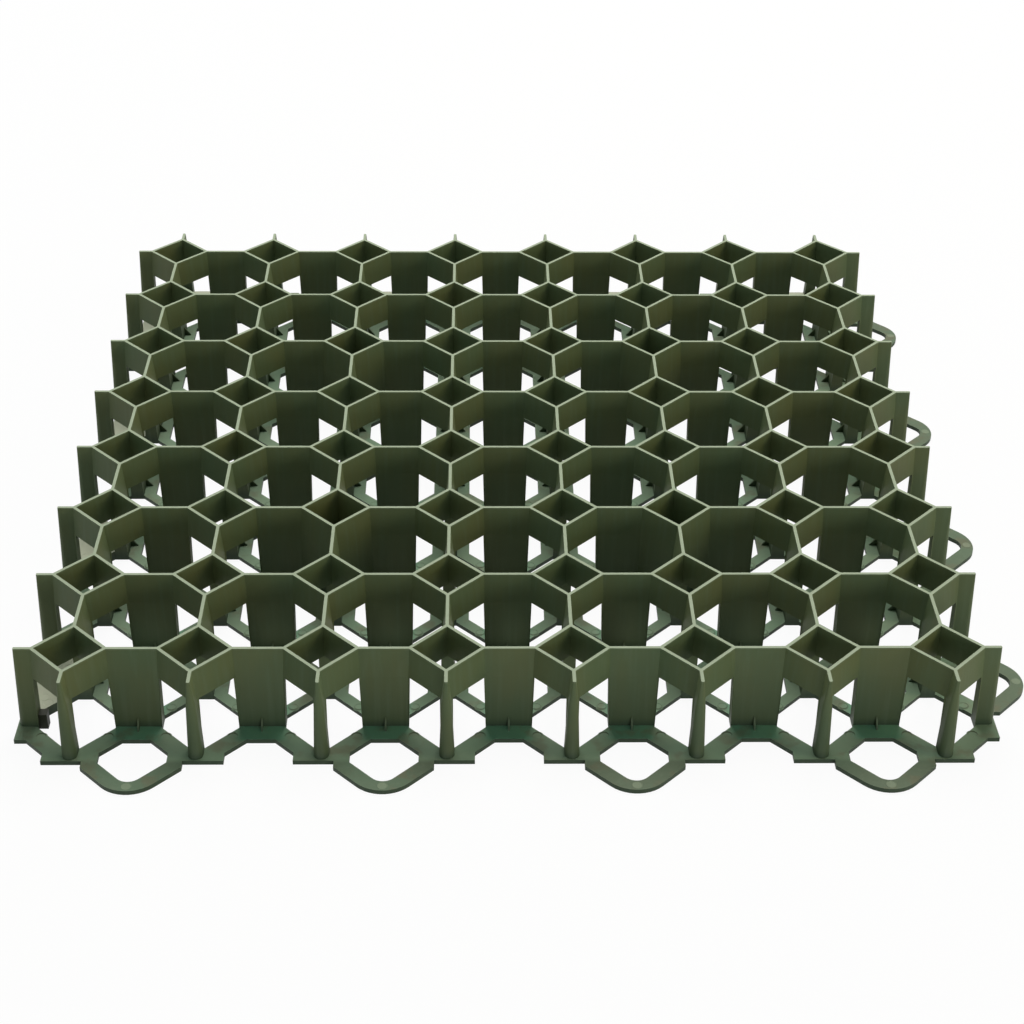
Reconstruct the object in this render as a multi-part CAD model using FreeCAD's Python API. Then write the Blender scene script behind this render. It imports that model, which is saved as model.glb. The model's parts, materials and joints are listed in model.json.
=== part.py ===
import FreeCAD, Part
import math
import os

V = FreeCAD.Vector

# Grass paver grid, one moulding, as laid: top up, loops at the front and the right.
# All lengths are in millimetres.

# Lattice: square tubes set cornerwise, joined corner to corner by straight walls,
# which leaves eight-sided cells between them
columns = 8
rows = 8
pitch = 62.5
height = 50.0

# Walls grow thicker from their top edge to the knee at the top of the windows, and on to the foot
wall_top = 1.7
wall_knee = 5.0
wall_foot = 7.8

# Wall stubs round the panel, their tops this far from those of the next panel
stub_gap = 7.9
stub_flare = 2.2
stub_flat = 0.6
stub_facets = 5

# Base plate: its gap to the next panel, and its width from the middle of a wall to the opening
# of a gap at the panel's edge, and to that of a whole cell
base_thick = 2.5
panel_gap = 2.1
strip = 14.05
inner_strip = 10.6

# Windows under the tube walls, and how far the ends of the cross walls and of the long walls
# stand back there
window_top = 33.2
window_clear = 0.5
end_back_top = 0.3
end_back_foot = 1.2
long_back_foot = 2.3

# Four tubes have no windows: those this many places in from two edges
closed_place = 3

# Small ribs at the middle of the walls' feet, in each cell but those of the sockets
rib_thick = 0.9
rib_height = 5.5
rib_length = 4.2

# Loops at the front and right edges
loop_ring = 7.8
loop_front = 6.8
loop_setback = 3.05
loop_bend = 3.5

# Sockets at the left and rear edges: a raised plate over the next panel's loop, a peg in
# the loop's hole, and a foot at each wall end beside it
socket_clear = 1.0
socket_lift = 0.7
socket_thick = 2.6
socket_margin = 5.2
peg_gap = 0.8
peg_thick = 4.4
peg_width = 5.0
foot_length = 3.6
foot_width = 5.0
foot_height = 9.0

# Tools reach this far past the faces that they open
past = 2.0

# Half diagonal of a tube that makes the cells regular octagons
tube = pitch / (2.0 + math.sqrt(2.0))
tube_wall = tube / math.sqrt(2.0)
mid = pitch / 2.0
over = height + past
cell_hole = mid - strip
inner_hole = mid - inner_strip
hole_tip = cell_hole - loop_setback
loop_tip = hole_tip + loop_front
loop_half = cell_hole + loop_ring
socket_floor = base_thick + socket_lift
socket_top = socket_floor + socket_thick


def half_wall(z):
    # half the wall's thickness at height z
    if z > window_top:
        return (wall_top + (wall_knee - wall_top) * (height - z) / (height - window_top)) / 2.0
    return (wall_knee + (wall_foot - wall_knee) * (window_top - z) / window_top) / 2.0


def outline(points, z):
    corners = [V(x, y, z) for x, y in points]
    return Part.makePolygon(corners + corners[:1])


def prism(points, z0, z1):
    return Part.Face(outline(points, z0)).extrude(V(0, 0, z1 - z0))


def stacked(levels):
    # solid through like outlines at rising heights, with flat sides between them
    wires = [outline(points, z) for points, z in levels]
    faces = [Part.Face(wires[0]), Part.Face(wires[-1])]
    for low, high in zip(wires, wires[1:]):
        for a, b in zip(low.Edges, high.Edges):
            p = [a.Vertexes[0].Point, a.Vertexes[1].Point, b.Vertexes[1].Point, b.Vertexes[0].Point]
            faces.append(Part.Face(Part.makePolygon(p + p[:1])))
    return Part.makeSolid(Part.makeShell(faces))


def rectangle(x0, x1, y0, y1):
    return [(x0, y0), (x1, y0), (x1, y1), (x0, y1)]


def octagon(a):
    # regular octagon, a from its middle to each side
    s = a * math.tan(math.pi / 8.0)
    return [(a, -s), (a, s), (s, a), (-s, a), (-a, s), (-a, -s), (-s, -a), (s, -a)]


def cornerwise(a):
    # square set cornerwise, a from its middle to each side
    d = a * math.sqrt(2.0)
    return [(d, 0), (0, d), (-d, 0), (0, -d)]


def blunted(a, r, s):
    # square set cornerwise with its corners cut off r from its middle along x, and s along y
    d = a * math.sqrt(2.0) - r
    e = a * math.sqrt(2.0) - s
    return [(r, -d), (r, d), (e, s), (-e, s), (-r, d), (-r, -d), (-e, -s), (e, -s)]


def placed(shape, x, y, turn=0):
    copy = shape.copy()
    copy.rotate(V(0, 0, 0), V(0, 0, 1), turn)
    copy.translate(V(x, y, 0))
    return copy


def cell_room():
    # room of a cell above the base
    return stacked([(octagon(mid - half_wall(z)), z) for z in (base_thick, window_top, over)])


def foot_ribs():
    # ribs at the feet of a cell's four walls
    foot = mid - half_wall(base_thick)
    side = [(mid, base_thick - past), (foot - rib_length, base_thick - past),
            (foot - rib_length, base_thick), (foot, base_thick + rib_height),
            (mid, base_thick + rib_height)]
    corners = [V(-rib_thick / 2.0, y, z) for y, z in side]
    rib = Part.Face(Part.makePolygon(corners + corners[:1])).extrude(V(rib_thick, 0, 0))
    return [placed(rib, 0, 0, turn) for turn in (0, 90, 180, 270)]


def tube_room():
    # room of a tube: between its walls above, wider below, where it opens the windows
    low = window_top - past
    upper = stacked([(cornerwise(tube_wall - half_wall(window_top)), low),
                     (cornerwise(tube_wall - half_wall(window_top)), window_top),
                     (cornerwise(tube_wall - half_wall(over)), over)])
    foot = tube_wall + half_wall(0.0) + window_clear
    head = tube_wall + half_wall(window_top) + window_clear
    lower = stacked([(blunted(foot, tube + end_back_foot, tube + long_back_foot), 0.0),
                     (blunted(head, tube + end_back_top, tube + end_back_top), window_top)])
    return lower.fuse(upper)


def closed_room():
    # room of a tube without windows
    return stacked([(cornerwise(tube_wall - half_wall(z)), z) for z in (0.0, window_top, over)])


def loop_plan(half, tip, bend, rear):
    # plan of a front loop, or of its hole, about the middle of its cell: straight sides up to
    # the points of its rear, shoulders at 45 degrees and a front arc that runs on from them
    total = half + bend
    t = (total - tip) / (2.0 - math.sqrt(2.0))
    left = [V(-half, -bend, 0), V(-t, t - total, 0)]
    right = [V(t, t - total, 0), V(half, -bend, 0)]
    path = right + [V(x, y, 0) for x, y in rear] + left
    arc = Part.Arc(left[-1], V(0, -tip, 0), right[0]).toShape()
    return Part.Face(Part.Wire(Part.makePolygon(path).Edges + [arc]))


def raised(face, z0, z1):
    solid = face.extrude(V(0, 0, z1 - z0))
    solid.translate(V(0, 0, z0))
    return solid


def stub_corner():
    # waste outside the rounded right corner of a stub that ends at y = 0 and faces +y
    levels = []
    for z in (base_thick, window_top, over):
        h = half_wall(z)
        flat = stub_flat / 2.0
        r = h - flat
        end = stub_flare * (height - z) / height
        points = [(h + past, end + past), (h + past, end - r)]
        for k in range(stub_facets + 1):
            a = math.pi / 2.0 * k / stub_facets
            points.append((flat + r * math.cos(a), end - r + r * math.sin(a)))
        points.append((flat, end + past))
        levels.append((points, z))
    return stacked(levels)


# Places of the tubes and cells; loops and sockets stand in every other gap of an edge
tube_x = [(i - (columns - 1) / 2.0) * pitch for i in range(columns)]
tube_y = [(j - (rows - 1) / 2.0) * pitch for j in range(rows)]
cell_x = [(i - columns / 2.0) * pitch for i in range(columns + 1)]
cell_y = [(j - rows / 2.0) * pitch for j in range(rows + 1)]
loop_x = cell_x[1:columns:2]
loop_y = cell_y[1:rows:2]

# Stock: the walls' block, the base plate under it and the loops' plates
end_x = cell_x[-1] - stub_gap / 2.0
end_y = cell_y[-1] - stub_gap / 2.0
foot_x = end_x + stub_flare
foot_y = end_y + stub_flare
plate_x = cell_x[-1] - panel_gap / 2.0
plate_y = cell_y[-1] - panel_gap / 2.0
block = stacked([(rectangle(-foot_x, foot_x, -foot_y, foot_y), 0.0),
                 (rectangle(-end_x, end_x, -end_y, end_y), height)])
plate = prism(rectangle(-plate_x, plate_x, -plate_y, plate_y), 0.0, base_thick)
loop_rear = panel_gap / 2.0 + past
loop = raised(loop_plan(loop_half, loop_tip, loop_bend, [(loop_half, loop_rear), (-loop_half, loop_rear)]),
              0.0, base_thick)
loops = [placed(loop, x, cell_y[0]) for x in loop_x]
loops += [placed(loop, cell_x[-1], y, 90) for y in loop_y]
stock = block.fuse([plate] + loops)

# Cells, each with its opening in the base; a socket's cell keeps its raised plate
bare_room = cell_room()
room = bare_room.cut(foot_ribs())
slab = prism(rectangle(-mid, mid, -mid, -socket_margin), 0.0, socket_top)
plain_hole = prism(octagon(cell_hole), -past, base_thick + past)
inner_opening = prism(octagon(inner_hole), -past, base_thick + past)
loop_hole = raised(loop_plan(cell_hole, hole_tip, 0.0, octagon(cell_hole)[1:5]), -past, base_thick + past)
wide = loop_half + socket_clear
bend = loop_bend + socket_clear * (math.sqrt(2.0) - 1.0)
channel = raised(loop_plan(wide, loop_tip + socket_clear, bend, [(wide, mid), (-wide, mid)]),
                 -past, socket_floor)
inner_cell = room.fuse(inner_opening)
plain_cell = room.fuse(plain_hole)
front_cell = room.fuse(loop_hole)
right_cell = room.fuse(placed(loop_hole, 0, 0, 90))
rear_cell = bare_room.cut(slab).fuse(channel)
left_cell = bare_room.cut(placed(slab, 0, 0, 90)).fuse(placed(channel, 0, 0, 90))
cells = []
for y in cell_y:
    for x in cell_x:
        cell = inner_cell
        if x in (cell_x[0], cell_x[-1]) or y in (cell_y[0], cell_y[-1]):
            cell = plain_cell
        if x in loop_x and y == cell_y[0]:
            cell = front_cell
        if x in loop_x and y == cell_y[-1]:
            cell = rear_cell
        if y in loop_y and x == cell_x[-1]:
            cell = right_cell
        if y in loop_y and x == cell_x[0]:
            cell = left_cell
        cells.append(placed(cell, x, y))
grid = stock.cut(cells)

# Tubes with their windows, and the rounded ends of the stubs
open_tube = tube_room()
closed_tube = closed_room()
closed_x = (tube_x[closed_place - 1], tube_x[-closed_place])
closed_y = (tube_y[closed_place - 1], tube_y[-closed_place])
cuts = []
for x in tube_x:
    for y in tube_y:
        hollow = closed_tube if x in closed_x and y in closed_y else open_tube
        cuts.append(placed(hollow, x, y))
corner = stub_corner()
for waste in (corner, corner.mirror(V(0, 0, 0), V(1, 0, 0))):
    cuts += [placed(waste, x, end_y) for x in tube_x]
    cuts += [placed(waste, x, -end_y, 180) for x in tube_x]
    cuts += [placed(waste, -end_x, y, 90) for y in tube_y]
    cuts += [placed(waste, end_x, y, -90) for y in tube_y]
grid = grid.cut(cuts)

# Pegs of the sockets and the feet at the wall ends beside them
peg_y = peg_gap - hole_tip
peg = prism(rectangle(-peg_width / 2.0, peg_width / 2.0, peg_y, peg_y + peg_thick), 0.0, socket_top)
end_foot = prism(rectangle(-foot_width / 2.0, foot_width / 2.0, tube + end_back_top - foot_length,
                           tube + long_back_foot + past), 0.0, foot_height)
extras = [placed(peg, x, cell_y[-1]) for x in loop_x]
extras += [placed(peg, cell_x[0], y, 90) for y in loop_y]
extras += [placed(end_foot, x, tube_y[-1]) for x in tube_x]
extras += [placed(end_foot, tube_x[0], y, 90) for y in tube_y]
grid = grid.fuse(extras).removeSplitter()

# Origin under the middle of the part's box
shift = (loop_tip + panel_gap / 2.0) / 2.0
grid.translate(V(-shift, shift, 0))
solid = grid.Solids[0]

os.makedirs("parts", exist_ok=True)
solid.exportStep("parts/paver_grid.step")
print("solids", len(grid.Solids), "valid", solid.isValid(), "faces", len(solid.Faces),
      "volume cm3", round(solid.Volume / 1000.0, 1), "box", solid.BoundBox)
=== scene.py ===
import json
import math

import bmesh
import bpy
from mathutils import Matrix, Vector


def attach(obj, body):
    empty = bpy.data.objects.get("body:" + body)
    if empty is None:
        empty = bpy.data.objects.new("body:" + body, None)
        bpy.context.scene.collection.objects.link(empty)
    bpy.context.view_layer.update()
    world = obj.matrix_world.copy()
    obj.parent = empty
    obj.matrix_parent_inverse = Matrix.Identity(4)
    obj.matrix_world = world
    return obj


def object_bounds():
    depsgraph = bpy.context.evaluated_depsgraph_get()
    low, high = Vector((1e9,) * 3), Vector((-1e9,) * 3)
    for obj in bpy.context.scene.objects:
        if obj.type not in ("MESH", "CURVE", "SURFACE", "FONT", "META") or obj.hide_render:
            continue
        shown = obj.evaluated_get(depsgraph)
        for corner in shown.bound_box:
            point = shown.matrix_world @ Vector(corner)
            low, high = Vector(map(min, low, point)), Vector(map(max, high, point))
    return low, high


bl_info = {
    "name": "Grass paver grid looks",
    "version": (1, 0, 0),
    "blender": (4, 5, 0),
    "location": "View3D > Sidebar > Paver",
    "description": "Finishes the moulded grass paver grid and sets its stage",
    "category": "Object",
}

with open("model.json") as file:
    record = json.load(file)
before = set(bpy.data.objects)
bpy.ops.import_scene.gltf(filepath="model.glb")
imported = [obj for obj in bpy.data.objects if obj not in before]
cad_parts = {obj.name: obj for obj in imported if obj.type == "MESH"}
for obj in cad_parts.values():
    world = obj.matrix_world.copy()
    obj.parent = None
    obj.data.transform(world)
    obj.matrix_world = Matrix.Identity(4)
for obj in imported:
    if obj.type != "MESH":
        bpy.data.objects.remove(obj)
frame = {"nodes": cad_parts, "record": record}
cad_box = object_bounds()
grid = frame["nodes"]["paver_grid"]
mounts = {mount["name"]: Vector(mount["pos_m"]) for mount in frame["record"]["mounts"]}

# Lattice of the grid: tubes along an edge, their spacing, and the thickness of a raised plate
LATTICE = 8
PITCH = 0.0625
SOCKET_THICK = 0.0026

# Grain of the plastic's noises, in cells in a metre along each axis
MOTTLE_CELLS = (26.0, 26.0, 14.0)
STREAK_CELLS = (340.0, 340.0, 7.0)
GRAIN_CELLS = (1500.0, 1500.0, 1500.0)
FLECK_CELLS = (420.0, 420.0, 420.0)
BLOTCH_CELLS = (85.0, 85.0, 85.0)

# Parts of the noises' range over which a look sets in
HUE_RANGE = (0.25, 0.75)
PATCH_RANGE = (0.4, 0.65)
STREAK_RANGE = (0.45, 0.8)
BLOTCH_RANGE = (0.52, 0.68)

# How far faces turn upwards before they count as level
LEVEL_RANGE = (0.55, 0.9)

# Heights over which a look sets in or fades
PLATE_FADE = (0.006, 0.008)
SOCKET_RISE = (0.004, 0.005)
# Painted shade: heights over which the darkening at the walls' feet fades
FOOT_SHADE_FADE = (0.002, 0.008)
# Painted shadow: heights below which the left sockets' feet get it
END_FOOT_FADE = (0.0092, 0.0098)

# Places over which masks rise, in pitches: about the lattice's edge, then from its left edge,
# then from the middle of a cell
EDGE_RISE = (-0.05, 0.02)
INSIDE_FADE = (-0.3, -0.25)
# Painted shadow: the feet beside the left sockets, from their start and stop along the edge to
# their side
END_FOOT_START = (0.1, 0.13)
END_FOOT_STOP = (0.3, 0.35)
END_FOOT_SIDE = (0.446, 0.457)
# Painted light: the strip along the cross walls' feet that gets a lighter teal
FOOT_STRIP = (0.24, 0.29)
FOOT_MIDDLE = (0.14, 0.24)

# Shares of the second colour in the plastic's mixes
PATCH_SHARE = 0.15
STAIN_SHARE = 0.45
# Painted shade: shares of the darkening towards the bottom of the walls and at their feet
LOW_SHADE_SHARE = 0.55
FOOT_SHADE_SHARE = 0.4
# Painted shadow: share of the dark crescent on the deep side of the strip marks
PIN_SHADOW_SHARE = 0.75
STREAK_SHARE = 0.05
LOOP_MARK_SHARE = 0.35
# Painted light: share of the paler colour on the sockets' raised plates
SOCKET_LIGHT_SHARE = 0.9
# Painted shadow: share of the near-black colour on the left sockets' feet
FOOT_SHADOW_SHARE = 0.9

# Depths of the plastic's fine relief, and its gloss
GRAIN_DEPTH = 0.00003
STREAK_DEPTH = 0.00004
FLECK_DEPTH = 0.00002
GLOSS = 0.22

# Ejector marks, in shares of their radius: soft edge, offset of the shallow side, width of
# the burr; then the steps round a burr, and its height on the low side as a share of the lip
MARK_EDGE = (0.85, 1.15)
MARK_OFFSET = 0.35
BURR_WIDTH = 0.3
BURR_STEPS = 20
BURR_LOW = 0.4

# Rounding of the moulded edges: steps across it, and the least turn of an edge that gets it
EDGE_SEGMENTS = 2
EDGE_ANGLE = math.radians(30.0)

# Stage: sensor in millimetres, lamps, colours of the light and the floor, and the shares of the
# floor over which its shadow fades
SENSOR_WIDTH = 36.0
LAMPS = {
    "key_lamp": {"place": (0.1, 1.1, 2.2), "size": 1.6, "tint": (1.0, 0.99, 0.96)},
    "left_lamp": {"place": (-1.8, -0.4, 0.9), "size": 0.9, "tint": (0.5, 1.0, 0.9)},
    "right_lamp": {"place": (2.6, -0.6, 1.3), "size": 1.2, "tint": (1.0, 0.85, 0.5)},
    "front_lamp": {"place": (0.7, -2.0, 0.2), "size": 0.6, "tint": (0.9, 0.98, 1.0)},
}
WHITE = (1.0, 1.0, 1.0, 1.0)
FILL_TINT = (0.86, 1.0, 1.0, 1.0)
FLOOR_BOUNCE = (0.55, 0.55, 0.55, 1.0)
FLOOR_SEEN = (0.9, 0.9, 0.9, 1.0)
SHADOW_FADE = (0.1, 0.3)


class PaverPlastic(bpy.types.PropertyGroup):
    """Colours and finish of the moulded plastic, with its painted light, shade and shadows"""

    olive: bpy.props.FloatVectorProperty(
        name="Olive", description="Warm half of the mottled wall colour",
        subtype="COLOR", size=3, min=0.0, max=1.0, default=(0.137, 0.155, 0.065))
    teal: bpy.props.FloatVectorProperty(
        name="Teal", description="Cool half of the mottled wall colour",
        subtype="COLOR", size=3, min=0.0, max=1.0, default=(0.110, 0.154, 0.076))
    base: bpy.props.FloatVectorProperty(
        name="Base", description="Colour of the base plate's strips",
        subtype="COLOR", size=3, min=0.0, max=1.0, default=(0.200, 0.275, 0.182))
    loop: bpy.props.FloatVectorProperty(
        name="Loop", description="Colour of the flat joining loops",
        subtype="COLOR", size=3, min=0.0, max=1.0, default=(0.130, 0.168, 0.112))
    # Painted light: a lighter teal than the plastic along the cross walls' feet, standing in for
    # light reflected there; also the teal of the random patches
    foot: bpy.props.FloatVectorProperty(
        name="Foot", description="Colour of the base plate along the feet of the cross walls",
        subtype="COLOR", size=3, min=0.0, max=1.0, default=(0.148, 0.325, 0.21))
    # Painted shade: the darker colour that the walls fade to towards their feet
    painted_shade: bpy.props.FloatVectorProperty(
        name="Painted shade", description="Darker colour towards the feet of the walls",
        subtype="COLOR", size=3, min=0.0, max=1.0, default=(0.040, 0.064, 0.037))
    stain: bpy.props.FloatVectorProperty(
        name="Stain", description="Brown patches on the base plate",
        subtype="COLOR", size=3, min=0.0, max=1.0, default=(0.17, 0.145, 0.09))
    # Painted light: the raised plates made much paler than the plastic, standing in for light they
    # catch from the left
    raised: bpy.props.FloatVectorProperty(
        name="Raised", description="Colour of the sockets' raised plates",
        subtype="COLOR", size=3, min=0.0, max=1.0, default=(0.50, 0.51, 0.39))
    # Painted shadow: near-black colour on the feet beside the left sockets, which lie in deep
    # shade under the raised plates
    foot_shadow_colour: bpy.props.FloatVectorProperty(
        name="Foot shadow", description="Dark painted shadow on the feet beside the left sockets",
        subtype="COLOR", size=3, min=0.0, max=1.0, default=(0.008, 0.008, 0.003))
    # Partly real scuffing, partly painted highlight: a much paler colour on the top edges that
    # stands in for light they catch; also the paler flow streaks and loop marks
    pale: bpy.props.FloatVectorProperty(
        name="Pale", description="Scuffed plastic with a painted highlight on the top edges",
        subtype="COLOR", size=3, min=0.0, max=1.0, default=(0.36, 0.42, 0.30))
    edge_round: bpy.props.FloatProperty(
        name="Edge rounding", description="Width of the rounding along the moulded edges",
        subtype="DISTANCE", unit="LENGTH", min=0.0, default=0.0003)
    # How far down the scuffing and its painted highlight reach
    scuff_sheen_depth: bpy.props.FloatProperty(
        name="Scuff and highlight depth", description="How far the pale scuffing and painted highlight runs down from the top edges",
        subtype="DISTANCE", unit="LENGTH", min=0.0, default=0.0012)


class PaverMarks(bpy.types.PropertyGroup):
    """Round marks that the ejector pins leave in the base"""

    pitch: bpy.props.FloatProperty(
        name="Pitch", description="Spacing of the tubes",
        subtype="DISTANCE", unit="LENGTH", min=0.001, default=PITCH)
    middle: bpy.props.FloatVectorProperty(
        name="Middle", description="Middle of the cell in the middle of the lattice",
        subtype="TRANSLATION", unit="LENGTH", size=2,
        default=mounts["top_edges"].xy + Vector((0.0, PITCH / 2.0)))
    base_level: bpy.props.FloatProperty(
        name="Base level", description="Height of the base plate's upper side",
        subtype="DISTANCE", unit="LENGTH", min=0.0, default=mounts["front_loop"].z)
    socket_level: bpy.props.FloatProperty(
        name="Socket level", description="Height of a socket's raised plate",
        subtype="DISTANCE", unit="LENGTH", min=0.0,
        default=mounts["left_socket"].z + SOCKET_THICK)
    strip_place: bpy.props.FloatVectorProperty(
        name="Strip place",
        description="Place of a mark on a strip, in pitches from the middle of its cell",
        size=2, default=(0.23, 0.32))
    loop_place: bpy.props.FloatProperty(
        name="Loop place",
        description="Distance of a loop's mark from the middle of its gap, in pitches",
        default=0.28)
    socket_place: bpy.props.FloatVectorProperty(
        name="Socket place",
        description="Place of a mark on a raised plate, in pitches from the middle of its gap",
        size=2, default=(0.25, 0.188))
    radius: bpy.props.FloatProperty(
        name="Radius", description="Radius of a mark",
        subtype="DISTANCE", unit="LENGTH", min=0.0001, default=0.0025)
    lip: bpy.props.FloatProperty(
        name="Lip", description="Height of the burr round a mark on its high side",
        subtype="DISTANCE", unit="LENGTH", min=0.0, default=0.0003)
    depth: bpy.props.FloatProperty(
        name="Depth", description="Depth of a mark in the base",
        subtype="DISTANCE", unit="LENGTH", min=0.0, default=0.0002)
    # Painted shadow in the deep side of each strip mark, where a recess would be shaded
    shade: bpy.props.FloatVectorProperty(
        name="Shade", description="Painted shadow in the deep side of a mark",
        subtype="COLOR", size=3, min=0.0, max=1.0, default=(0.045, 0.045, 0.02))


class PaverStage(bpy.types.PropertyGroup):
    """Camera, lamps and floor"""

    lens: bpy.props.FloatProperty(
        name="Lens", description="Focal length of the camera in millimetres",
        subtype="DISTANCE_CAMERA", unit="CAMERA", min=1.0, default=68.43)
    eye: bpy.props.FloatVectorProperty(
        name="Eye", description="Place of the camera",
        subtype="TRANSLATION", unit="LENGTH", size=3, default=(-0.0271, -0.9714, 0.6474))
    pitch: bpy.props.FloatProperty(
        name="Pitch", description="Downward tilt of the camera",
        subtype="ANGLE", unit="ROTATION", default=math.radians(34.05))
    yaw: bpy.props.FloatProperty(
        name="Yaw", description="Turn of the camera to the right",
        subtype="ANGLE", unit="ROTATION", default=math.radians(1.24))
    roll: bpy.props.FloatProperty(
        name="Roll", description="Lean of the camera about its view",
        subtype="ANGLE", unit="ROTATION", default=math.radians(0.68))
    key_power: bpy.props.FloatProperty(
        name="Key power", description="Power of the broad lamp behind the grid",
        subtype="POWER", unit="POWER", min=0.0, default=54.0)
    left_power: bpy.props.FloatProperty(
        name="Left power", description="Power of the cool lamp on the left",
        subtype="POWER", unit="POWER", min=0.0, default=0.8)
    right_power: bpy.props.FloatProperty(
        name="Right power", description="Power of the warm lamp on the right",
        subtype="POWER", unit="POWER", min=0.0, default=18.0)
    front_power: bpy.props.FloatProperty(
        name="Front power", description="Power of the low lamp in front of the grid",
        subtype="POWER", unit="POWER", min=0.0, default=8.5)
    fill: bpy.props.FloatProperty(
        name="Fill", description="Level of the light from all round",
        subtype="FACTOR", min=0.0, max=1.0, default=0.16)
    floor_half: bpy.props.FloatProperty(
        name="Floor half width", description="Half the width of the floor",
        subtype="DISTANCE", unit="LENGTH", min=0.1, default=6.0)
    floor_shade: bpy.props.FloatProperty(
        name="Floor shade", description="Share of the shadow that shows on the white floor",
        subtype="FACTOR", min=0.0, max=1.0, default=0.06)


class Socket:
    """A node's output that can stand in Python expressions"""

    def __init__(self, graph, output):
        self.graph = graph
        self.output = output

    def math(self, operation, first, second):
        return self.graph.node("ShaderNodeMath", {"operation": operation},
                               {0: first, 1: second})

    def __add__(self, other):
        return self.math("ADD", self, other)

    def __radd__(self, other):
        return self.math("ADD", other, self)

    def __sub__(self, other):
        return self.math("SUBTRACT", self, other)

    def __rsub__(self, other):
        return self.math("SUBTRACT", other, self)

    def __mul__(self, other):
        return self.math("MULTIPLY", self, other)

    def __rmul__(self, other):
        return self.math("MULTIPLY", other, self)


class Graph:
    """Node tree of a material or a world"""

    def __init__(self, owner):
        owner.use_nodes = True
        self.tree = owner.node_tree
        self.tree.nodes.clear()

    def node(self, kind, settings, inputs, output=0):
        made = self.tree.nodes.new(kind)
        for name, value in settings.items():
            setattr(made, name, value)
        for key, value in inputs.items():
            if isinstance(value, Socket):
                self.tree.links.new(value.output, made.inputs[key])
            else:
                made.inputs[key].default_value = value
        return Socket(self, made.outputs[output]) if made.outputs else None

    def ramp(self, value, low, high):
        """Smooth rise from 0 to 1 while the value goes from low to high"""
        return self.node("ShaderNodeMapRange", {"interpolation_type": "SMOOTHSTEP"},
                         {"Value": value, "From Min": low, "From Max": high})

    def blend(self, factor, first, second):
        """Colour between two colours"""
        return self.node("ShaderNodeMix", {"data_type": "RGBA"},
                         {0: factor, 6: first, 7: second}, 2)

    def noise(self, place, cells, detail):
        """Noise whose grain has the given number of cells in a metre along each axis"""
        scaled = self.node("ShaderNodeVectorMath", {"operation": "MULTIPLY"}, {0: place, 1: cells})
        return self.node("ShaderNodeTexNoise", {},
                         {"Vector": scaled, "Scale": 1.0, "Detail": detail, "Roughness": 0.5})


def colour(values):
    return (*values, 1.0)


def folded(graph, along, middle, pitch):
    """Distance along one axis to the nearest middle line of the cells"""
    return graph.node("ShaderNodeMath", {"operation": "PINGPONG"},
                      {0: along - middle, 1: pitch / 2.0})


def scaled_range(limits, factor, start=0.0):
    """Both limits times a factor, counted from a start"""
    return [start + limit * factor for limit in limits]


def disc(graph, across, along, place, radius):
    """1 inside a round mark and 0 outside it"""
    here = graph.node("ShaderNodeCombineXYZ", {}, {"X": across, "Y": along})
    far = graph.node("ShaderNodeVectorMath", {"operation": "DISTANCE"},
                     {0: here, 1: (*place, 0.0)}, "Value")
    return 1.0 - graph.ramp(far, *scaled_range(MARK_EDGE, radius))


class PlaceMasks:
    """Masks of the marks, the loops, the strips at the walls' feet that get painted light and the
    left sockets' feet that get a painted shadow
    """

    def __init__(self, graph, place, marks):
        pitch = marks.pitch
        half = LATTICE / 2.0 * pitch
        x = graph.node("ShaderNodeSeparateXYZ", {}, {0: place}, "X")
        y = graph.node("ShaderNodeSeparateXYZ", {}, {0: place}, "Y")
        self.across = folded(graph, x, marks.middle[0], pitch)
        self.along = folded(graph, y, marks.middle[1], pitch)
        strip_x, strip_y = [share * pitch for share in marks.strip_place]
        shallow_y = strip_y - MARK_OFFSET * marks.radius
        self.strips = disc(graph, self.across, self.along, (strip_x, strip_y), marks.radius)
        shallow = disc(graph, self.across, self.along, (strip_x, shallow_y), marks.radius)
        # Crescent on the deep side of each strip mark, which gets a painted shadow
        self.deep = self.strips * (1.0 - shallow)
        reach = half + marks.loop_place * pitch
        front = disc(graph, self.across, y, (0.0, marks.middle[1] - reach), marks.radius)
        right = disc(graph, x, self.along, (marks.middle[0] + reach, 0.0), marks.radius)
        self.loops = front + right
        aside = x - marks.middle[0]
        ahead = marks.middle[1] - y
        off_front = graph.ramp(ahead, *scaled_range(EDGE_RISE, pitch, half))
        off_right = graph.ramp(aside, *scaled_range(EDGE_RISE, pitch, half))
        self.beyond = off_front + off_right
        spread = graph.node("ShaderNodeMath", {"operation": "ABSOLUTE"}, {0: aside})
        inside = 1.0 - graph.ramp(spread, *scaled_range(INSIDE_FADE, pitch, half))
        # Painted light: strip along the cross walls' feet, away from the front edge, that gets the
        # lighter teal
        strip = graph.ramp(self.along, *scaled_range(FOOT_STRIP, pitch))
        middle = 1.0 - graph.ramp(self.across, *scaled_range(FOOT_MIDDLE, pitch))
        self.feet = inside * (1.0 - off_front) * strip * middle
        # Painted shadow: the feet beside the left sockets
        past_start = graph.ramp(aside, *scaled_range(END_FOOT_START, pitch, -half))
        before_stop = 1.0 - graph.ramp(aside, *scaled_range(END_FOOT_STOP, pitch, -half))
        beside = graph.ramp(self.along, *scaled_range(END_FOOT_SIDE, pitch))
        self.ends = past_start * before_stop * beside


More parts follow.
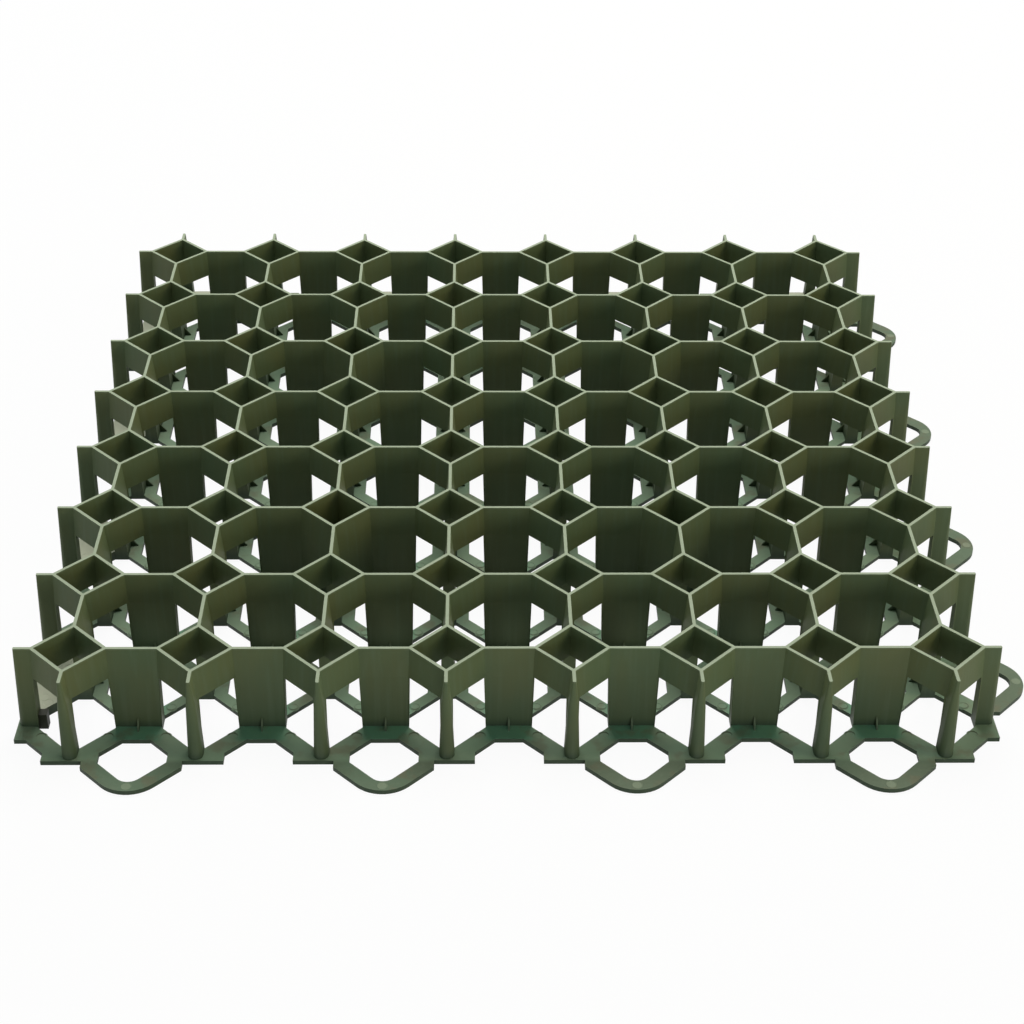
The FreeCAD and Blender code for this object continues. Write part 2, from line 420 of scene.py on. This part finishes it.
class PlasticFields:
    """Values over the plastic's surface that its colour, roughness and relief share"""

    def __init__(self, graph, props, marks):
        self.place = graph.node("ShaderNodeTexCoord", {}, {}, "Object")
        self.height = graph.node("ShaderNodeSeparateXYZ", {}, {0: self.place}, "Z")
        normal = graph.node("ShaderNodeNewGeometry", {}, {}, "True Normal")
        facing = graph.node("ShaderNodeSeparateXYZ", {}, {0: normal}, "Z")
        self.mottle = graph.noise(self.place, MOTTLE_CELLS, 3.0)
        self.streak = graph.noise(self.place, STREAK_CELLS, 2.0)
        self.grain = graph.noise(self.place, GRAIN_CELLS, 2.0)
        self.flecks = graph.noise(self.place, FLECK_CELLS, 3.0)
        self.masks = PlaceMasks(graph, self.place, marks)
        level = graph.ramp(facing, *LEVEL_RANGE)
        self.plate = level * (1.0 - graph.ramp(self.height, *PLATE_FADE))
        self.socket = self.plate * graph.ramp(self.height, *SOCKET_RISE)
        # Scuffing with a painted highlight on the top edges, strongest on their level tops
        depth = props.scuff_sheen_depth
        top = cad_box[1].z
        ragged = self.height + (self.flecks - 0.5) * depth
        rim = graph.ramp(ragged, top - depth, top - 0.3 * depth)
        self.scuff_and_sheen = rim * (0.08 + 0.92 * level) * (0.7 + 0.6 * self.flecks)


def wall_colour(graph, props, fields):
    """Olive and teal mottling with painted shade that darkens it towards the bottom of the walls,
    most at their feet
    """
    hue = graph.ramp(fields.mottle + 0.15 * (fields.streak - 0.5), *HUE_RANGE)
    mottled_walls = graph.blend(hue, colour(props.olive), colour(props.teal))
    # Painted shade: darker towards the bottom of the walls, and darker still within a few
    # millimetres of their feet
    low = LOW_SHADE_SHARE * (1.0 - graph.ramp(fields.height, 0.0, cad_box[1].z))
    foot_shade = FOOT_SHADE_SHARE * (1.0 - graph.ramp(fields.height, *FOOT_SHADE_FADE))
    return graph.blend(low + foot_shade, mottled_walls, colour(props.painted_shade))


def plate_colour(graph, props, fields):
    """Base plate and loops, with painted light as a lighter, cooler teal along the feet of the
    cross walls, random teal patches and brown stains
    """
    # Painted light along the cross walls' feet
    near_wall = fields.masks.feet
    patches = PATCH_SHARE * graph.ramp(fields.mottle, *PATCH_RANGE)
    plain = graph.blend(fields.masks.beyond, colour(props.base), colour(props.loop))
    cool = graph.blend(near_wall + patches * (1.0 - near_wall), plain, colour(props.foot))
    blotches = graph.noise(fields.place, BLOTCH_CELLS, 3.0)
    stained = STAIN_SHARE * graph.ramp(blotches, *BLOTCH_RANGE)
    return graph.blend(stained, cool, colour(props.stain))


def plastic_colour(graph, props, marks, fields):
    """Walls and plate, with painted shade and shadows, streaks, painted light on the raised
    plates, and top edges paler from scuffing and a painted highlight
    """
    walls = wall_colour(graph, props, fields)
    body = graph.blend(fields.plate, walls, plate_colour(graph, props, fields))
    # Painted shadow: a dark crescent on the deep side of each strip mark
    deep = PIN_SHADOW_SHARE * fields.plate * fields.masks.deep
    mark_shadowed = graph.blend(deep, body, colour(marks.shade))
    streaks = STREAK_SHARE * graph.ramp(fields.streak, *STREAK_RANGE)
    lighter = streaks + LOOP_MARK_SHARE * fields.plate * fields.masks.loops
    streaked = graph.blend(lighter, mark_shadowed, colour(props.pale))
    # Painted light on the sockets' raised plates
    socket_lit = graph.blend(SOCKET_LIGHT_SHARE * fields.socket, streaked, colour(props.raised))
    # Painted shadow: near black on the left sockets' feet below their top
    ends = FOOT_SHADOW_SHARE * fields.masks.ends * (1.0 - graph.ramp(fields.height, *END_FOOT_FADE))
    foot_shadowed = graph.blend(ends, socket_lit, colour(props.foot_shadow_colour))
    # Scuffing and painted highlight on the top edges
    return graph.blend(fields.scuff_and_sheen, foot_shadowed, colour(props.pale))


def recycled_plastic(props, marks):
    """Mottled green recycled plastic with flow streaks, and top edges paler from scuffing and a
    painted highlight
    """
    material = bpy.data.materials.new("recycled_plastic")
    graph = Graph(material)
    fields = PlasticFields(graph, props, marks)
    uneven = 0.2 * fields.mottle + 0.1 * (fields.grain - 0.5)
    roughness = 0.45 + uneven + 0.08 * fields.scuff_and_sheen + 0.2 * fields.plate
    fine = GRAIN_DEPTH * fields.grain + STREAK_DEPTH * fields.streak + FLECK_DEPTH * fields.flecks
    relief = fine - marks.depth * fields.plate * fields.masks.strips
    bump = graph.node("ShaderNodeBump", {}, {"Strength": 1.0, "Distance": 1.0, "Height": relief})
    plastic = graph.node("ShaderNodeBsdfPrincipled", {},
                         {"Base Color": plastic_colour(graph, props, marks, fields),
                          "Roughness": roughness, "Specular IOR Level": GLOSS, "Normal": bump})
    graph.node("ShaderNodeOutputMaterial", {}, {"Surface": plastic})
    return material


def soften_edges(obj, width):
    """Small rounding that lets the moulded edges catch the light"""
    bevel = obj.modifiers.new("edge rounding", "BEVEL")
    bevel.width = width
    bevel.segments = EDGE_SEGMENTS
    bevel.limit_method = "ANGLE"
    bevel.angle_limit = EDGE_ANGLE
    bevel.harden_normals = True


class PAVER_OT_finish_grid(bpy.types.Operator):
    """Gives the moulded grid its plastic and its rounded edges"""

    bl_idname = "paver.finish_grid"
    bl_label = "Finish grid"

    def execute(self, context):
        props = context.scene.paver_plastic
        grid.data.materials.clear()
        grid.data.materials.append(recycled_plastic(props, context.scene.paver_marks))
        soften_edges(grid, props.edge_round)
        return {"FINISHED"}


def is_socket(column, row):
    """Whether the gap at this corner of the lattice holds a socket"""
    return (column == 0 and row % 2 == 1) or (row == LATTICE and column % 2 == 1)


def mark_places(marks):
    """Middle of each mark, and the direction of the high side of its burr"""
    corner = Vector(marks.middle) - Vector((LATTICE, LATTICE)) * marks.pitch / 2.0
    strip = Vector(marks.strip_place)
    places = []
    for column in range(LATTICE + 1):
        for row in range(LATTICE + 1):
            gap = corner + Vector((column, row)) * marks.pitch
            if is_socket(column, row):
                continue
            sides = [(x, y) for x in (-1, 1) for y in (-1, 1)
                     if 0 <= column + (x - 1) / 2 < LATTICE and 0 <= row + (y - 1) / 2 < LATTICE]
            for x, y in sides:
                spot = gap + Vector((x * strip.x, y * strip.y)) * marks.pitch
                places.append((Vector((*spot, marks.base_level)), Vector((0.0, y))))
    for step in range(1, LATTICE, 2):
        along = step * marks.pitch
        reach = marks.loop_place * marks.pitch
        side, inward = [share * marks.pitch for share in marks.socket_place]
        far = LATTICE * marks.pitch
        spots = [(along, -reach, marks.base_level), (far + reach, along, marks.base_level)]
        for offset in (-side, side):
            spots.append((along + offset, far - inward, marks.socket_level))
            spots.append((inward, along + offset, marks.socket_level))
        places += [(corner.to_3d() + Vector(spot), Vector((0.0, 0.0))) for spot in spots]
    return places


def add_burr(mesh, middle, high, marks):
    """Closed ring of burr round one mark, higher on one side"""
    width = BURR_WIDTH * marks.radius
    inner, outer = marks.radius - width, marks.radius + width
    loops = []
    for step in range(BURR_STEPS):
        angle = 2.0 * math.pi * step / BURR_STEPS
        out = Vector((math.cos(angle), math.sin(angle)))
        rise = marks.lip * (BURR_LOW + (1.0 - BURR_LOW) * max(0.0, out.dot(high)))
        section = [(inner, -marks.lip), (outer, -marks.lip), (marks.radius, rise)]
        loops.append([mesh.verts.new(middle + Vector((*(out * r), z))) for r, z in section])
    for here, there in zip(loops, loops[1:] + loops[:1]):
        for k in range(3):
            mesh.faces.new((here[k], there[k], there[k - 2], here[k - 2]))


class PAVER_OT_add_pin_marks(bpy.types.Operator):
    """Adds the burrs of the ejector marks to the base, the loops and the raised plates"""

    bl_idname = "paver.add_pin_marks"
    bl_label = "Add pin marks"

    def execute(self, context):
        marks = context.scene.paver_marks
        mesh = bmesh.new()
        for middle, high in mark_places(marks):
            add_burr(mesh, middle, high, marks)
        bmesh.ops.recalc_face_normals(mesh, faces=mesh.faces)
        data = bpy.data.meshes.new("pin_marks")
        mesh.to_mesh(data)
        mesh.free()
        data.materials.append(grid.data.materials[0])
        piece = bpy.data.objects.new("pin_marks", data)
        context.scene.collection.objects.link(piece)
        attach(piece, "root")
        return {"FINISHED"}


class PAVER_OT_set_stage(bpy.types.Operator):
    """Sets the camera, the lamps, the world and the white floor"""

    bl_idname = "paver.set_stage"
    bl_label = "Set stage"

    def execute(self, context):
        props = context.scene.paver_stage
        add_camera(props)
        add_lamps(props)
        add_world(props)
        add_floor(props)
        context.scene.view_settings.view_transform = "Standard"
        return {"FINISHED"}


def add_camera(props):
    """Camera at the photograph's viewing angle"""
    data = bpy.data.cameras.new("camera")
    data.lens = props.lens
    data.sensor_width = SENSOR_WIDTH
    camera = bpy.data.objects.new("camera", data)
    turn = Matrix.Rotation(-props.yaw, 4, "Z")
    tilt = Matrix.Rotation(math.pi / 2.0 - props.pitch, 4, "X")
    lean = Matrix.Rotation(props.roll, 4, "Z")
    camera.matrix_world = Matrix.Translation(props.eye) @ turn @ tilt @ lean
    bpy.context.scene.collection.objects.link(camera)
    bpy.context.scene.camera = camera


def add_lamp(name, place, size, power, tint):
    """Square area lamp that looks at the middle of the grid"""
    data = bpy.data.lights.new(name, "AREA")
    data.size = size
    data.energy = power
    data.color = tint
    lamp = bpy.data.objects.new(name, data)
    lamp.location = place
    lamp.rotation_euler = (-Vector(place)).to_track_quat("-Z", "Y").to_euler()
    bpy.context.scene.collection.objects.link(lamp)


def add_lamps(props):
    """Broad key from behind, a cool lamp on the left, a warm one on the right, a low front one"""
    powers = {"key_lamp": props.key_power, "left_lamp": props.left_power,
              "right_lamp": props.right_power, "front_lamp": props.front_power}
    for name, lamp in LAMPS.items():
        add_lamp(name, lamp["place"], lamp["size"], powers[name], lamp["tint"])


def seen_directly(graph):
    """1 for what the camera, gloss and glass see, and 0 for light that spreads"""
    path = graph.node("ShaderNodeLightPath", {}, {}, "Is Camera Ray")
    outputs = path.output.node.outputs
    gloss = Socket(graph, outputs["Is Glossy Ray"])
    glass = Socket(graph, outputs["Is Transmission Ray"])
    return graph.ramp(path + gloss + glass, 0.0, 1.0)


def add_world(props):
    """Even light from all round, white where it is seen"""
    world = bpy.data.worlds.new("studio")
    graph = Graph(world)
    seen = seen_directly(graph)
    level = props.fill + (1.0 - props.fill) * seen
    tint = graph.blend(seen, FILL_TINT, WHITE)
    back = graph.node("ShaderNodeBackground", {}, {"Color": tint, "Strength": level})
    graph.node("ShaderNodeOutputWorld", {}, {"Surface": back})
    bpy.context.scene.world = world


def add_floor(props):
    """White floor under the grid that keeps a soft part of its shadow"""
    half = props.floor_half
    mesh = bpy.data.meshes.new("floor")
    corners = [(-half, -half, 0.0), (half, -half, 0.0), (half, half, 0.0), (-half, half, 0.0)]
    mesh.from_pydata(corners, [], [(0, 1, 2, 3)])
    floor = bpy.data.objects.new("floor", mesh)
    bpy.context.scene.collection.objects.link(floor)
    material = bpy.data.materials.new("white_floor")
    graph = Graph(material)
    seen = seen_directly(graph)
    paint = graph.blend(seen, FLOOR_BOUNCE, FLOOR_SEEN)
    matt = graph.node("ShaderNodeBsdfDiffuse", {}, {"Color": paint})
    white = graph.node("ShaderNodeEmission", {}, {"Color": WHITE, "Strength": 1.0})
    place = graph.node("ShaderNodeTexCoord", {}, {}, "Object")
    far = graph.node("ShaderNodeVectorMath", {"operation": "LENGTH"}, {0: place}, "Value")
    near = 1.0 - graph.ramp(far, *scaled_range(SHADOW_FADE, half))
    share = seen * (1.0 - props.floor_shade * near)
    mixed = graph.node("ShaderNodeMixShader", {}, {0: share, 1: matt, 2: white})
    graph.node("ShaderNodeOutputMaterial", {}, {"Surface": mixed})
    mesh.materials.append(material)


class PAVER_PT_panel(bpy.types.Panel):
    """Lists the paver grid's operators and their settings"""

    bl_idname = "PAVER_PT_panel"
    bl_label = "Paver grid"
    bl_space_type = "VIEW_3D"
    bl_region_type = "UI"
    bl_category = "Paver"

    def draw(self, context):
        scene = context.scene
        self.list_step(PAVER_OT_finish_grid, scene.paver_plastic)
        self.list_step(PAVER_OT_add_pin_marks, scene.paver_marks)
        self.list_step(PAVER_OT_set_stage, scene.paver_stage)

    def list_step(self, operator, settings):
        box = self.layout.box()
        for name in type(settings).__annotations__:
            box.prop(settings, name)
        box.operator(operator.bl_idname)


CLASSES = (PaverPlastic, PaverMarks, PaverStage, PAVER_OT_finish_grid, PAVER_OT_add_pin_marks,
           PAVER_OT_set_stage, PAVER_PT_panel)


def register():
    for item in CLASSES:
        bpy.utils.register_class(item)
    bpy.types.Scene.paver_plastic = bpy.props.PointerProperty(type=PaverPlastic)
    bpy.types.Scene.paver_marks = bpy.props.PointerProperty(type=PaverMarks)
    bpy.types.Scene.paver_stage = bpy.props.PointerProperty(type=PaverStage)


def unregister():
    del bpy.types.Scene.paver_stage
    del bpy.types.Scene.paver_marks
    del bpy.types.Scene.paver_plastic
    for item in reversed(CLASSES):
        bpy.utils.unregister_class(item)


def main():
    register()
    bpy.ops.paver.finish_grid()
    bpy.ops.paver.add_pin_marks()
    bpy.ops.paver.set_stage()


if __name__ == "__main__":
    main()
